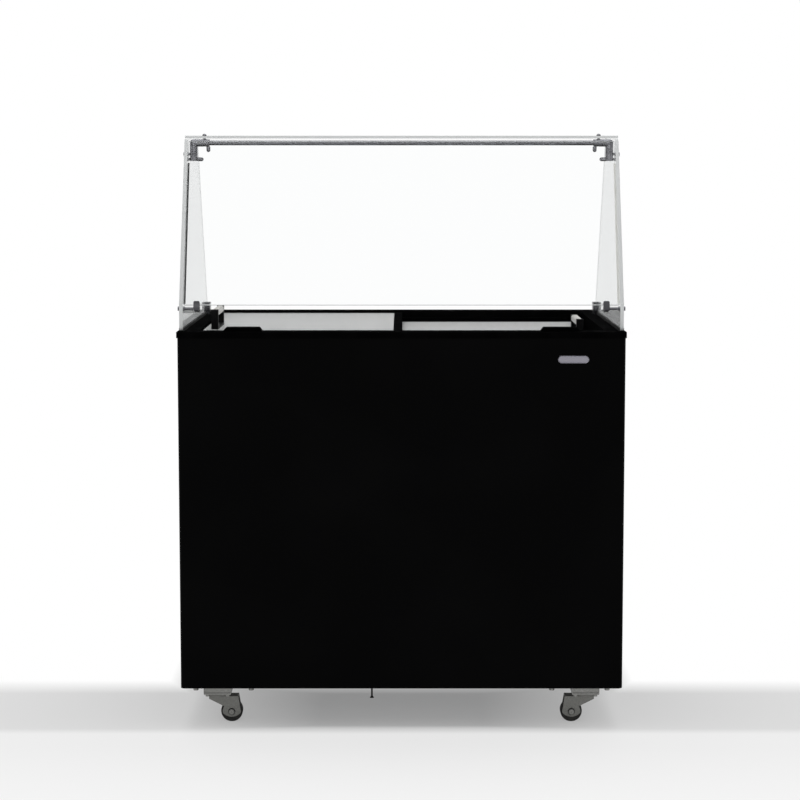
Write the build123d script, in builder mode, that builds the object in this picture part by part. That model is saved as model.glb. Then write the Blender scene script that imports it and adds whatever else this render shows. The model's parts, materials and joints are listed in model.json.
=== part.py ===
"""Serving chest freezer on castors, with two sliding glass lids and a glass sneeze guard.

Millimetres. X runs across the width, Y from front to back, Z up. The origin is on the
floor, in the middle of the footprint.
"""

import os

from build123d import *

# --- driving dimensions -------------------------------------------------------------
body_width = 1010.0
body_depth = 640.0
body_bottom = 93.0
rim_top = 911.0
sheet = 1.0
corner_radius = 10.0

rim_overhang = 2.5
rim_skirt = 14.0
rim_depth = 60.0
opening_half_x = 460.0
opening_half_y = 273.0
ledge_step = 8.5

tub_half_x = 440.0
tub_half_y = 256.0
tub_floor = 165.0
tub_corner = 14.5
step_x = 200.0
step_top = 430.0
liner_wall = 1.2
coil_gap = 9.0

bay_x = 225.0
bay_top = 380.0
base_sheet = 1.5

lid_bar = 20.0
lid_frame_height = 13.0
lid_pitch = 22.0
lid_gap = 0.3
lid_glass = 4.0
handle_width = 16.0
handle_height = 46.0
handle_length = 140.0
handle_inset = 20.0

pane = 8.0
thin_pane = 6.0
side_glass_inner = 493.0
rail_radius = 6.0
elbow_radius = 9.0

wheel_radius = 25.0
wheel_width = 20.0
castor_x = 424.0
castor_y = 260.0
castor_trail = 31.0
castor_top = 72.0

# --- levels and edges worked out from them ------------------------------------------
half_width = body_width / 2
half_depth = body_depth / 2
front = -half_depth
rim_bottom = rim_top - rim_depth
rim_width = body_width + 2 * rim_overhang
rim_length = body_depth + 2 * rim_overhang
upper_lid_top = rim_top - 2.7
upper_lid_bottom = upper_lid_top - lid_frame_height
lower_lid_top = upper_lid_top - lid_pitch
lower_lid_bottom = lower_lid_top - lid_frame_height
lower_half_y = opening_half_y - ledge_step

os.makedirs("parts", exist_ok=True)


def save(builder, name):
    """Label a finished piece and write it out under its own name."""
    builder.part.label = name
    export_step(builder.part, f"parts/{name}.step")


def slab(x, y, z, mode=Mode.ADD):
    """A box between two X, two Y and two Z values."""
    middle = [(low + high) / 2 for low, high in (x, y, z)]
    with Locations(tuple(middle)):
        Box(x[1] - x[0], y[1] - y[0], z[1] - z[0], mode=mode)


def rod_x(x, y, z, radius, mode=Mode.ADD):
    """A round bar along X, from x[0] to x[1]."""
    with Locations(((x[0] + x[1]) / 2, y, z)):
        Cylinder(radius, x[1] - x[0], rotation=(0, 90, 0), mode=mode)


def rod_y(x, y, z, radius, mode=Mode.ADD):
    """A round bar along Y, from y[0] to y[1]."""
    with Locations((x, (y[0] + y[1]) / 2, z)):
        Cylinder(radius, y[1] - y[0], rotation=(90, 0, 0), mode=mode)


def rod_z(x, y, z, radius, mode=Mode.ADD):
    """A round bar along Z, from z[0] to z[1]."""
    with Locations((x, y, (z[0] + z[1]) / 2)):
        Cylinder(radius, z[1] - z[0], mode=mode)


# --- outer cabinet ------------------------------------------------------------------
case_top = rim_top - 4.0
panel_return = 14.0
inner_width = body_width - 2 * sheet
inner_depth = body_depth - 2 * sheet

with BuildPart() as front_panel:
    with BuildSketch(Plane.XY.offset(body_bottom)):
        RectangleRounded(body_width, body_depth, corner_radius)
        RectangleRounded(inner_width, inner_depth, corner_radius - sheet, mode=Mode.SUBTRACT)
        with Locations((0, panel_return)):
            Rectangle(2 * body_width, body_depth, mode=Mode.SUBTRACT)
    extrude(amount=case_top - body_bottom)
save(front_panel, "front_panel")

grille_y = (-110.0, 150.0)
grille_z = (135.0, 335.0)
for side, name in ((-1, "side_panel_left"), (1, "side_panel_right")):
    with BuildPart() as side_panel:
        with BuildSketch(Plane.XY.offset(body_bottom)):
            RectangleRounded(body_width, body_depth, corner_radius)
            RectangleRounded(inner_width, inner_depth, corner_radius - sheet, mode=Mode.SUBTRACT)
            with Locations((-side * panel_return, 0)):
                Rectangle(body_width, 2 * body_depth, mode=Mode.SUBTRACT)
            with Locations((0, front)):
                Rectangle(2 * body_width, 2 * panel_return, mode=Mode.SUBTRACT)
        extrude(amount=case_top - body_bottom)
        if side > 0:
            slab((half_width - 5, half_width + 5), grille_y, grille_z, Mode.SUBTRACT)
    save(side_panel, name)

rear_grille_x = (245.0, 475.0)
rear_grille_z = (112.0, 292.0)
control_x = (290.0, 430.0)
control_z = (308.0, 368.0)
rear_half_x = half_width - panel_return
with BuildPart() as rear_panel:
    rear_y = (half_depth - sheet, half_depth)
    slab((-rear_half_x, rear_half_x), rear_y, (body_bottom, case_top))
    slab(rear_grille_x, (300, 330), rear_grille_z, Mode.SUBTRACT)
    slab(control_x, (300, 330), control_z, Mode.SUBTRACT)
save(rear_panel, "rear_panel")

drain_x = -69.0
drain_y = -240.0
drain_radius = 8.0
drain_clear = drain_radius + 0.2
with BuildPart() as base_plate:
    with BuildSketch(Plane.XY.offset(body_bottom)):
        RectangleRounded(inner_width, inner_depth, corner_radius - sheet)
        with Locations((drain_x, drain_y)):
            Circle(drain_clear, mode=Mode.SUBTRACT)
    extrude(amount=base_sheet)
save(base_plate, "base_plate")

rail_width = 63.0
rail_wall = 2.0
rail_half_y = 292.0
with BuildPart() as base_rails:
    for side in (-1, 1):
        x = (side * castor_x - rail_width / 2, side * castor_x + rail_width / 2)
        slab(x, (-rail_half_y, rail_half_y), (castor_top, body_bottom))
        hollow = (x[0] + rail_wall, x[1] - rail_wall)
        slab(hollow, (-400, 400), (castor_top + rail_wall, body_bottom), Mode.SUBTRACT)
save(base_rails, "base_rails")

screw_head = 9.0
screw_inner_x = 345.0
screw_outer_x = 472.0
screw_y = 300.0
with BuildPart() as base_screws:
    for side in (-1, 1):
        for x in (side * screw_inner_x, side * screw_outer_x):
            for y in (-screw_y, screw_y):
                with BuildSketch(Plane.XY.offset(body_bottom - screw_head)):
                    with Locations((x, y)):
                        RegularPolygon(6.0, 6)
                extrude(amount=screw_head)
save(base_screws, "base_screws")


# --- insulation, tub and cooling coil -----------------------------------------------
def tub_outline(grow):
    """The tub's plan grown by grow, anticlockwise from its front left chamfer."""
    x = tub_half_x + grow
    y = tub_half_y + grow
    cut = tub_corner + grow * (2 - 2**0.5)
    return [
        (-x, -y + cut),
        (-x + cut, -y),
        (x - cut, -y),
        (x, -y + cut),
        (x, y - cut),
        (x - cut, y),
        (-x + cut, y),
        (-x, y - cut),
    ]


def plate(outline, z):
    """A flat-sided block: a plan outline between two Z values."""
    corners = [(x, y, z[0]) for x, y in outline]
    extrude(Face(Wire.make_polygon(corners, close=True)), amount=z[1] - z[0], dir=(0, 0, 1))


# folded from flat sheets, with a step over the machine bay
sheet_low = tub_floor - liner_wall
shelf_low = step_top - liner_wall
inside = tub_outline(0.0)
outside = tub_outline(liner_wall)
riser_back = step_x + liner_wall
with BuildPart() as floor_sheets:
    plate([(step_x, -tub_half_y), (step_x, tub_half_y), *inside[6:], *inside[:2]], (sheet_low, tub_floor))
    rod_z(drain_x, drain_y, (tub_floor - 5, tub_floor + 5), drain_clear, Mode.SUBTRACT)
liner_solids = list(floor_sheets.solids())
# every wall sheet: its corners in the outline, and its lowest Z
full_height = ((6, 7), (7, 0), (0, 1))
over_step = ((1, 2), (2, 3), (3, 4), (4, 5), (5, 6))
for walls, low in ((full_height, sheet_low), (over_step, shelf_low)):
    for a, b in walls:
        with BuildPart() as wall:
            plate([inside[a], inside[b], outside[b], outside[a]], (low, rim_bottom))
        liner_solids += wall.solids()
for a in (1, 6):
    edge = (inside[a][1], outside[a][1])
    with BuildPart() as wall:
        corners = [inside[a], (step_x, edge[0]), (step_x, edge[1]), outside[a]]
        plate(corners, (sheet_low, shelf_low))
    liner_solids += wall.solids()
with BuildPart() as riser:
    slab((step_x, riser_back), (outside[1][1], outside[6][1]), (sheet_low, shelf_low))
with BuildPart() as shelf:
    plate([(step_x, -tub_half_y), *inside[2:6], (step_x, tub_half_y)], (shelf_low, step_top))
liner_solids += [*riser.solids(), *shelf.solids()]
inner_liner = Compound(label="inner_liner", children=liner_solids)
export_step(inner_liner, "parts/inner_liner.step")

foam_bottom = body_bottom + base_sheet
foam_chamfer = 12.0
with BuildPart() as foam_insulation:
    with BuildSketch(Plane.XY.offset(foam_bottom)):
        RectangleRounded(inner_width, inner_depth, corner_radius - sheet)
    extrude(amount=rim_bottom - foam_bottom)
    cavity = liner_wall + coil_gap
    with BuildSketch(Plane.XY.offset(tub_floor - cavity)):
        cavity_width = 2 * (tub_half_x + cavity)
        cavity_depth = 2 * (tub_half_y + cavity)
        corners = Rectangle(cavity_width, cavity_depth)
        chamfer(corners.vertices(), foam_chamfer)
    extrude(amount=rim_bottom - tub_floor + cavity, mode=Mode.SUBTRACT)
    shelf_x = (step_x + cavity, tub_half_x + 2 * cavity)
    slab(shelf_x, (-300, 300), (tub_floor - cavity, step_top - cavity))
    slab((bay_x, 600), (-400, 400), (0, bay_top), Mode.SUBTRACT)
    rod_z(drain_x, drain_y, (0, tub_floor), drain_clear, Mode.SUBTRACT)
save(foam_insulation, "foam_insulation")

coil_radius = 4.0
coil_offset = liner_wall + coil_gap / 2
coil_bend = 19.0
coil_turns = 5
turn_pitch = 75.0
with BuildPart() as evaporator_coil:
    for level in range(coil_turns):
        with BuildLine(Plane.XY.offset(step_top + 50 + turn_pitch * level)) as turn:
            ring = Polyline(
                (-tub_half_x - coil_offset, -tub_half_y - coil_offset),
                (tub_half_x + coil_offset, -tub_half_y - coil_offset),
                (tub_half_x + coil_offset, tub_half_y + coil_offset),
                (-tub_half_x - coil_offset, tub_half_y + coil_offset),
                close=True,
            )
            fillet(ring.vertices(), coil_bend)
        start = turn.line.edges().sort_by(Axis.Y)[0]
        with BuildSketch(Plane(start @ 0.5, z_dir=start % 0.5)):
            Circle(coil_radius)
        sweep(path=turn.line)
save(evaporator_coil, "evaporator_coil")

collar_bottom = body_bottom - 2.0
with BuildPart() as drain_pipe:
    rod_z(drain_x, drain_y, (collar_bottom, tub_floor), drain_radius)
    rod_z(drain_x, drain_y, (body_bottom - 14, collar_bottom), drain_radius - 0.5)
    rod_z(drain_x, drain_y, (0, 300), drain_radius - 2, Mode.SUBTRACT)
save(drain_pipe, "drain_pipe")

plug_top = body_bottom + 12.0
foot_bottom = 48.0
with BuildPart() as drain_plug:
    rod_z(drain_x, drain_y, (body_bottom - 8, plug_top), drain_radius - 2.05)
    rod_z(drain_x, drain_y, (foot_bottom + 2, body_bottom - 8), 2.0)
    with Locations((drain_x, drain_y, foot_bottom + 2)):
        Cone(5.0, 2.0, 4.0)
save(drain_plug, "drain_plug")

# --- top frame with its two tracks --------------------------------------------------
neck_width = inner_width - 0.6
neck_depth = inner_depth - 0.6
with BuildPart() as top_frame:
    with BuildSketch(Plane.XY.offset(rim_top - rim_skirt)):
        RectangleRounded(rim_width, rim_length, corner_radius + rim_overhang)
    extrude(amount=rim_skirt)
    fillet(top_frame.faces().sort_by(Axis.Z)[-1].edges(), 2.0)
    with BuildSketch(Plane.XY.offset(rim_bottom)):
        RectangleRounded(neck_width, neck_depth, corner_radius - sheet)
    extrude(amount=rim_depth - rim_skirt)
    # the groove that drops over the top edge of the outer panels
    with BuildSketch(Plane.XY.offset(rim_top - rim_skirt)):
        RectangleRounded(body_width + 0.4, body_depth + 0.4, corner_radius + 0.2)
        RectangleRounded(neck_width, neck_depth, corner_radius - sheet, mode=Mode.SUBTRACT)
    extrude(amount=case_top - rim_top + rim_skirt + 0.2, mode=Mode.SUBTRACT)
    with BuildSketch(Plane.XY.offset(rim_bottom)):
        with BuildLine():
            Polyline(*inside, close=True)
        make_face()
    extrude(amount=rim_depth, mode=Mode.SUBTRACT)
    # one ledge for each lid, the upper one wider
    for half_y, lid_bottom in ((lower_half_y, lower_lid_bottom), (opening_half_y, upper_lid_bottom)):
        with BuildSketch(Plane.XY.offset(lid_bottom - lid_gap)):
            Rectangle(2 * opening_half_x, 2 * half_y)
        extrude(amount=rim_depth, mode=Mode.SUBTRACT)
save(top_frame, "top_frame")

block_span = (317.0, 400.0)
block_height = 9.0
block_depth = 26.0
block_set_back = 12.0
with BuildPart() as rim_blocks:
    for side in (-1, 1):
        with BuildSketch(Plane.XZ.offset(half_depth - block_set_back)):
            with BuildLine():
                Polyline(
                    (side * (block_span[0] - 3), rim_top),
                    (side * (block_span[0] + 4), rim_top + block_height),
                    (side * (block_span[1] - 4), rim_top + block_height),
                    (side * (block_span[1] + 3), rim_top),
                    close=True,
                )
            make_face()
        extrude(amount=-block_depth)
    fillet(rim_blocks.edges().filter_by(Axis.Y).group_by(Axis.Z)[-1], 3.0)
save(rim_blocks, "rim_blocks")

badge_x = 387.0
badge_z = rim_top - 62.0
badge_sheet = 1.6
with BuildPart() as badge_plate:
    with BuildSketch(Plane.XZ.offset(half_depth)):
        with Locations((badge_x, badge_z)):
            SlotOverall(70, 17)
    extrude(amount=badge_sheet)
    fillet(badge_plate.faces().sort_by(Axis.Y)[0].edges(), 0.7)
save(badge_plate, "badge_plate")

# --- sliding lids -------------------------------------------------------------------
handle_front = front + 110.0
handle_base = 6.0


def lid_pieces(prefix, x, half_y, top, outer):
    """One lid between two X values. outer is the X side, -1 or 1, that carries the handle."""
    bottom = top - lid_frame_height
    glass_top = top - 1.5
    seat = glass_top - lid_glass
    bars = [x[0] + lid_bar, x[1] - lid_bar]
    glass_x = [x[0] + lid_bar, x[1] - lid_bar]
    if outer < 0:
        glass_x[0] = x[0] + 2.5
    else:
        glass_x[1] = x[1] - 2.5
    glass_y = (-half_y + 12, half_y - 12)

    with BuildPart() as frame:
        slab(x, (-half_y, half_y), (bottom, top))
        slab(bars, (-half_y + lid_bar, half_y - lid_bar), (0, 1000), Mode.SUBTRACT)
        slab(
            (glass_x[0] - 0.3 - 8 * (outer > 0), glass_x[1] + 0.3 + 8 * (outer < 0)),
            (glass_y[0] - 0.3, glass_y[1] + 0.3),
            (seat, 1000),
            Mode.SUBTRACT,
        )
    save(frame, f"{prefix}_frame")

    with BuildPart() as glass:
        slab(
            (glass_x[0] - 8 * (outer > 0), glass_x[1] + 8 * (outer < 0)),
            glass_y,
            (seat, glass_top),
        )
    save(glass, f"{prefix}_glass")

    outer_end = x[0] if outer < 0 else x[1]
    near = outer_end - outer * handle_inset
    far = near - outer * handle_width
    grip_x = sorted((near, far))
    with BuildPart() as handle:
        slab(grip_x, (handle_front, handle_front + handle_length), (glass_top, glass_top + handle_base))
        slab(grip_x, (handle_front, handle_front + 12), (glass_top, glass_top + handle_height))
        slab(
            grip_x,
            (handle_front + handle_length - 12, handle_front + handle_length),
            (glass_top, glass_top + handle_height),
        )
        fillet(handle.edges().filter_by(Axis.X).group_by(Axis.Z)[-1], 2.0)
    save(handle, f"{prefix}_handle")

    with BuildPart() as grip:
        slab(
            grip_x,
            (handle_front + 12, handle_front + handle_length - 12),
            (glass_top + handle_height - 16, glass_top + handle_height - 0.5),
        )
        fillet(grip.edges().filter_by(Axis.Y), 5.0)
    save(grip, f"{prefix}_grip")


upper_lid_x = (-459.0, 2.0)
lower_lid_x = (-39.0, 440.0)
lid_pieces("upper_lid", upper_lid_x, opening_half_y - 0.7, upper_lid_top, -1)
lid_pieces("lower_lid", lower_lid_x, lower_half_y - 0.7, lower_lid_top, 1)

# --- sneeze guard glass -------------------------------------------------------------
guard_foot = rim_top + 2.0
guard_top = rim_top + 434.0
edge_foot = (front + 15.0, rim_top + 62.0)
edge_head = (front + 150.0, guard_top)
rear_head_y = front + 350.0
rear_foot_y = front + 540.0
rail_y = front + 168.0
rail_z = rim_top + 425.0
bolt_hole = 4.0
side_bolt_z = rim_top + 399.0
screw_z = rim_top + 387.0
clamp_y = front + 30.5
clamp_z = rim_top + 50.5
top_bolt_x = 457.0
screw_x = 448.0
side_glass_outer = side_glass_inner + pane
rear_clamp_y = (front + 490.0, front + 520.0)

for side, name in ((-1, "side_glass_left"), (1, "side_glass_right")):
    with BuildPart() as side_glass:
        with BuildSketch(Plane.YZ.offset(side * (side_glass_inner + pane / 2))):
            with BuildLine():
                Polyline(
                    (edge_foot[0], guard_foot),
                    edge_foot,
                    edge_head,
                    (rear_head_y, guard_top),
                    (rear_foot_y, guard_foot),
                    close=True,
                )
            outline = make_face()
            fillet(outline.vertices().group_by(Axis.Z)[-1], 6.0)
            for y, z in ((rail_y, side_bolt_z), (rail_y, screw_z), (clamp_y, clamp_z)):
                with Locations((y, z)):
                    Circle(bolt_hole, mode=Mode.SUBTRACT)
        extrude(amount=pane / 2, both=True)
    save(side_glass, name)

glass_foot = (front + 33.0, rim_top + 58.0)
glass_head = (front + 154.0, rim_top + 428.0)
slant = Vector(0, glass_head[0] - glass_foot[0], glass_head[1] - glass_foot[1])
front_plane = Plane((0, *glass_foot), x_dir=(1, 0, 0), z_dir=Vector(1, 0, 0).cross(slant))
with BuildPart() as front_glass:
    with BuildSketch(front_plane):
        with Locations((0, slant.length / 2)):
            Rectangle(2 * side_glass_inner - 3, slant.length)
    extrude(amount=thin_pane / 2, both=True)
    fillet(front_glass.edges().filter_by(Axis.X), 0.8)
save(front_glass, "front_glass")

top_glass_z = guard_top + 1.5
top_glass_y = (front + 152.0, front + 396.0)
with BuildPart() as top_glass:
    slab((-side_glass_outer, side_glass_outer), top_glass_y, (top_glass_z, top_glass_z + thin_pane))
    fillet(top_glass.edges().filter_by(Axis.Z), 6.0)
    for side in (-1, 1):
        rod_z(side * top_bolt_x, rail_y, (0, 2000), bolt_hole, Mode.SUBTRACT)
save(top_glass, "top_glass")

with BuildPart() as glass_channels:
    for side in (-1, 1):
        middle = side * (side_glass_inner + pane / 2)
        channel_y = (front + 20.0, rear_clamp_y[0] - 4)
        slab((middle - 5.5, middle + 5.5), channel_y, (rim_top, rim_top + 7))
        slab((middle - 4.1, middle + 4.1), (-400, 400), (guard_foot, rim_top + 20), Mode.SUBTRACT)
save(glass_channels, "glass_channels")

# --- guard rail, elbows, clamps and bolts --------------------------------------------
elbow_x = 482.0
elbow_mouth = 447.0
elbow_foot = rim_top + 383.0
rail_end = elbow_x - 6.0
rail_bore = rail_radius + 0.05
shank = 3.0
shank_bore = shank + 0.1

with BuildPart() as top_rail:
    rod_x((-rail_end, rail_end), rail_y, rail_z, rail_radius)
    for side in (-1, 1):
        rod_z(side * top_bolt_x, rail_y, (0, 2000), shank_bore, Mode.SUBTRACT)
        rod_z(side * screw_x, rail_y, (0, 2000), shank_bore, Mode.SUBTRACT)
save(top_rail, "top_rail")

with BuildPart() as corner_elbows:
    for side in (-1, 1):
        rod_x(sorted((side * elbow_mouth, side * elbow_x)), rail_y, rail_z, elbow_radius)
        rod_z(side * elbow_x, rail_y, (elbow_foot, rail_z), elbow_radius)
        with Locations((side * elbow_x, rail_y, rail_z)):
            Sphere(elbow_radius)
    rod_x((-rail_end - 0.2, rail_end + 0.2), rail_y, rail_z, rail_bore, Mode.SUBTRACT)
    for side in (-1, 1):
        rod_z(side * top_bolt_x, rail_y, (0, 2000), shank_bore, Mode.SUBTRACT)
        rod_z(side * screw_x, rail_y, (0, 2000), shank_bore, Mode.SUBTRACT)
        leg = sorted((side * (elbow_x - 20), side * (elbow_x + 20)))
        rod_x(leg, rail_y, side_bolt_z, shank_bore, Mode.SUBTRACT)
        rod_x(leg, rail_y, screw_z, shank_bore, Mode.SUBTRACT)
save(corner_elbows, "corner_elbows")

head_radius = 5.0
head_height = 4.6
nut_radius = 4.6
nut_length = 9.0
glass_face = top_glass_z + thin_pane
with BuildPart() as guard_fasteners:
    for side in (-1, 1):
        # bolt down through the top glass, the elbow and the rail
        rod_z(side * top_bolt_x, rail_y, (rail_z - elbow_radius + 1, glass_face), shank)
        with Locations((side * top_bolt_x, rail_y, glass_face)):
            Sphere(head_radius, arc_size1=0, align=(Align.CENTER, Align.CENTER, Align.MIN))
        # clamp screw up through the rail, ending below in a domed nut
        rod_z(side * screw_x, rail_y, (rail_z - 13, rail_z + 8.5), shank)
        rod_z(side * screw_x, rail_y, (rail_z - 17, rail_z - 9.1), nut_radius)
        with Locations((side * screw_x, rail_y, rail_z - 17)):
            Sphere(nut_radius, arc_size2=0, align=(Align.CENTER, Align.CENTER, Align.MAX))
        # bolt in through the side glass, with its head outside
        span = (side * (side_glass_outer + 2), side * (elbow_x - 8))
        rod_x(sorted(span), rail_y, side_bolt_z, shank)
        rod_x(
            sorted((side * (side_glass_outer + 0.05), side * (side_glass_outer + head_height))),
            rail_y,
            side_bolt_z,
            head_radius,
        )
        # screw out through the side glass, with a domed nut inside and a small cap outside
        span = (side * (side_glass_outer + 2), side * (elbow_x - 10))
        rod_x(sorted(span), rail_y, screw_z, shank)
        rod_x(
            sorted((side * (side_glass_outer + 0.05), side * (side_glass_outer + 3))),
            rail_y,
            screw_z,
            nut_radius,
        )
        nut = (side * (elbow_x - 9.1), side * (elbow_x - 9.1 - nut_length))
        rod_x(sorted(nut), rail_y, screw_z, nut_radius)
        with Locations((side * (elbow_x - 9.1 - nut_length), rail_y, screw_z)):
            Sphere(nut_radius)
        # stud through the front lower corner, which carries the front glass clamp
        span = (side * (side_glass_outer + 2), side * 466.0)
        rod_x(sorted(span), clamp_y, clamp_z, shank)
        rod_x(
            sorted((side * (side_glass_outer + 0.05), side * (side_glass_outer + head_height))),
            clamp_y,
            clamp_z,
            head_radius,
        )
        rod_x(
            sorted((side * (side_glass_inner - 0.05), side * (side_glass_inner - 3))),
            clamp_y,
            clamp_z,
            head_radius,
        )
save(guard_fasteners, "guard_fasteners")

clamp_x = (456.0, 470.0)
with BuildPart() as glass_clamps:
    for side in (-1, 1):
        x = sorted((side * clamp_x[0], side * clamp_x[1]))
        # front clamp, gripping the lower edge of the front glass
        with BuildSketch(front_plane):
            with Locations(((x[0] + x[1]) / 2, -3)):
                RectangleRounded(x[1] - x[0], 22, 3)
        extrude(amount=7.5, both=True)
        with BuildSketch(front_plane):
            with Locations(((x[0] + x[1]) / 2, 10)):
                Rectangle(20, 20.4)
        extrude(amount=thin_pane / 2 + 0.1, both=True, mode=Mode.SUBTRACT)
        rod_x((x[0] - 1, x[1] + 1), clamp_y, clamp_z, shank_bore, Mode.SUBTRACT)
        # rear clamp, standing on the rim and gripping the side glass
        inner = side * (side_glass_inner - 10)
        outer = side * (side_glass_outer + 3)
        slab(sorted((inner, outer)), rear_clamp_y, (rim_top, rim_top + 29))
        gap = sorted((side * (side_glass_inner - 0.1), side * (side_glass_outer + 0.1)))
        slab(gap, (-400, 400), (guard_foot, rim_top + 40), Mode.SUBTRACT)
save(glass_clamps, "glass_clamps")

# --- machine bay --------------------------------------------------------------------
louvre_pitch = 16.0
grille_depth = 8.0
grille_gap = 0.3
grille_border = 10.0


def slats(across, z):
    """The boxes, as across and Z spans, that a vent grille's slots are cut by."""
    count = int((z[1] - z[0] - 20) / louvre_pitch)
    inside = (across[0] + grille_border, across[1] - grille_border)
    return [(inside, (z[0] + 14 + n * louvre_pitch, z[0] + 23 + n * louvre_pitch)) for n in range(count)]


with BuildPart() as vent_grilles:
    # flush in the rear panel
    span = (rear_grille_x[0] + grille_gap, rear_grille_x[1] - grille_gap)
    height = (rear_grille_z[0] + grille_gap, rear_grille_z[1] - grille_gap)
    slab(span, (half_depth - grille_depth, half_depth), height)
    for inside, slot in slats(span, height):
        slab(inside, (half_depth - 20, half_depth + 5), slot, Mode.SUBTRACT)
    # flush in the right side panel
    span = (grille_y[0] + grille_gap, grille_y[1] - grille_gap)
    height = (grille_z[0] + grille_gap, grille_z[1] - grille_gap)
    slab((half_width - grille_depth, half_width), span, height)
    for inside, slot in slats(span, height):
        slab((half_width - 20, half_width + 5), inside, slot, Mode.SUBTRACT)
save(vent_grilles, "vent_grilles")

compressor_x = 350.0
compressor_y = 150.0
compressor_half_y = 60.0
grommet_top = foam_bottom + 14.0
foot_spots = [(dx, dy) for dx in (-80, 80) for dy in (-55, 55)]
with BuildPart() as compressor:
    slab(
        (compressor_x - 92, compressor_x + 92),
        (compressor_y - 66, compressor_y + 66),
        (grommet_top, grommet_top + 3),
    )
    for dx, dy in foot_spots:
        rod_z(compressor_x + dx, compressor_y + dy, (0, 300), 5.1, Mode.SUBTRACT)
    with BuildSketch(Plane.XY.offset(grommet_top + 3)):
        with Locations((compressor_x, compressor_y)):
            Ellipse(72, compressor_half_y)
    extrude(amount=150)
    shell_edges = compressor.faces().sort_by(Axis.Z)[-1].edges()
    fillet(shell_edges, 28)
save(compressor, "compressor")

with BuildPart() as compressor_grommets:
    for dx, dy in foot_spots:
        spot = (compressor_x + dx, compressor_y + dy)
        rod_z(*spot, (foam_bottom, grommet_top), 9.0)
        rod_z(*spot, (grommet_top, grommet_top + 6), 5.0)
save(compressor_grommets, "compressor_grommets")

with BuildPart() as start_relay:
    slab(
        (compressor_x - 105, compressor_x - 73),
        (compressor_y - 28, compressor_y + 28),
        (grommet_top + 50, grommet_top + 110),
    )
    fillet(start_relay.edges().filter_by(Axis.Y), 5.0)
save(start_relay, "start_relay")

condenser_x = (250.0, 470.0)
condenser_y = (-235.0, -180.0)
condenser_z = (foam_bottom, foam_bottom + 205.0)
fin_count = 22
with BuildPart() as condenser:
    pitch = (condenser_x[1] - condenser_x[0]) / (fin_count - 1)
    for index in range(fin_count):
        fin = condenser_x[0] + index * pitch
        slab((fin - 0.4, fin + 0.4), condenser_y, condenser_z)
    for row in range(6):
        for y in (condenser_y[0] + 14, condenser_y[1] - 14):
            tube = (condenser_x[0] - 5, condenser_x[1] + 5)
            rod_x(tube, y, condenser_z[0] + 20 + 33 * row, 4.0)
save(condenser, "condenser")

fan_x = 360.0
fan_z = condenser_z[0] + 102.0
fan_radius = 76.0
shroud_y = (condenser_y[1] + 1, condenser_y[1] + 34)
with BuildPart() as fan_shroud:
    slab(condenser_x, shroud_y, condenser_z)
    hollow_x = (condenser_x[0] + 2, condenser_x[1] - 2)
    hollow_z = (condenser_z[0] + 2, condenser_z[1] - 2)
    slab(hollow_x, (shroud_y[0] - 1, shroud_y[1] - 2), hollow_z, Mode.SUBTRACT)
    rod_y(fan_x, (-400, 400), fan_z, fan_radius + 5, Mode.SUBTRACT)
save(fan_shroud, "fan_shroud")

motor_y = (shroud_y[1] + 12, shroud_y[1] + 62)
shaft_radius = 3.0
with BuildPart() as fan_motor:
    rod_y(fan_x, motor_y, fan_z, 34)
    rod_y(fan_x, (motor_y[0] - 22, motor_y[0] + 1), fan_z, shaft_radius)
    for angle in (45, 135, 225, 315):
        arm = Vector(1, 0, 0).rotate(Axis.Y, angle)
        with Locations(Location((fan_x, motor_y[0] + 4, fan_z) + arm * 62, (0, angle, 0))):
            Box(66, 5, 8)
        foot = Vector(fan_x, 0, fan_z) + arm * 92
        rod_y(foot.X, (shroud_y[1], motor_y[0] + 6.5), foot.Z, 5)
save(fan_motor, "fan_motor")

blade_length = 62.0
blade_sheet = 2.0
blade_chord = 40.0
blade_pitch = 28.0
with BuildPart() as fan_blades:
    blade_y = motor_y[0] - 12
    rod_y(fan_x, (blade_y - 11, blade_y + 9), fan_z, 18)
    for index in range(5):
        angle = index * 72
        arm = Vector(1, 0, 0).rotate(Axis.Y, angle)
        spot = Vector(fan_x, blade_y, fan_z) + arm * 44
        turned = Location(spot) * Location((0, 0, 0), (0, angle, 0))
        with Locations(turned * Location((0, 0, 0), (blade_pitch, 0, 0))):
            Box(blade_length, blade_sheet, blade_chord)
    rod_y(fan_x, (blade_y - 30, blade_y + 30), fan_z, shaft_radius + 0.05, Mode.SUBTRACT)
save(fan_blades, "fan_blades")

drier_x = bay_x + 14.0
drier_y = -60.0
drier_z = (foam_bottom + 60.0, foam_bottom + 160.0)
with BuildPart() as filter_drier:
    rod_z(drier_x, drier_y, drier_z, 12)
    rod_z(drier_x, drier_y, (drier_z[0] - 12, drier_z[1] + 12), 4)
    fillet(filter_drier.edges().filter_by(GeomType.CIRCLE).filter_by(lambda e: e.radius > 11), 5)
save(filter_drier, "filter_drier")

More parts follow.
